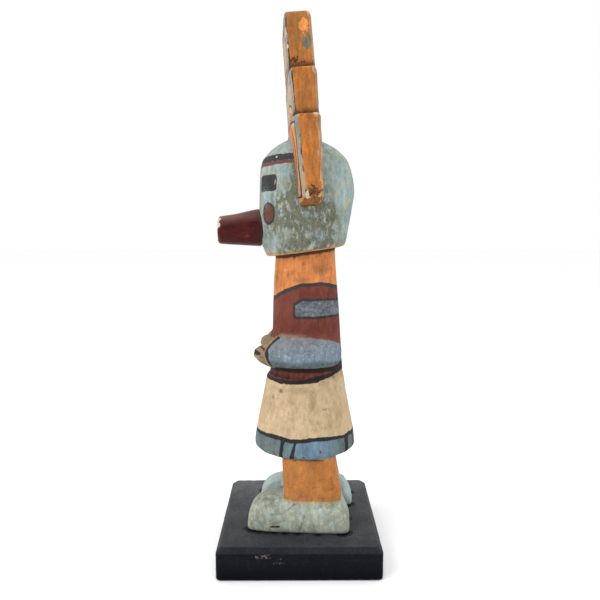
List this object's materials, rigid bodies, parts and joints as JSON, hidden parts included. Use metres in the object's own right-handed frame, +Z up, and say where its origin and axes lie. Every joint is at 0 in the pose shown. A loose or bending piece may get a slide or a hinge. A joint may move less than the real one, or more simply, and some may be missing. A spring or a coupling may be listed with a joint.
{
  "type": "kachina doll",
  "caption": "Carved and painted wooden doll standing on a square board, with a case-shaped helmet, round snout, stepped headboard, kilt and tall moccasins.",
  "frame": {"origin": "centre of the underside of the square board that the doll stands on", "axes": "+Z up, the doll faces -Y, +X is the doll's left side"},
  "size_m": [0.095, 0.0962, 0.3158],
  "materials": {
    "base_black": "black stained board, satin, fine grain, small chips",
    "figure_paint": "matt earth paints on carved root, worn and grimy",
    "headboard_paint": "matt orange, blue-grey and cream paint on a carved board, worn",
    "snout_maroon": "dark maroon, semi-gloss, chipped at the tip"
  },
  "bodies": {
    "root": {"base": "base_black", "figure": "figure_paint", "headboard": "headboard_paint", "snout": "snout_maroon"}
  },
  "joints": []
}
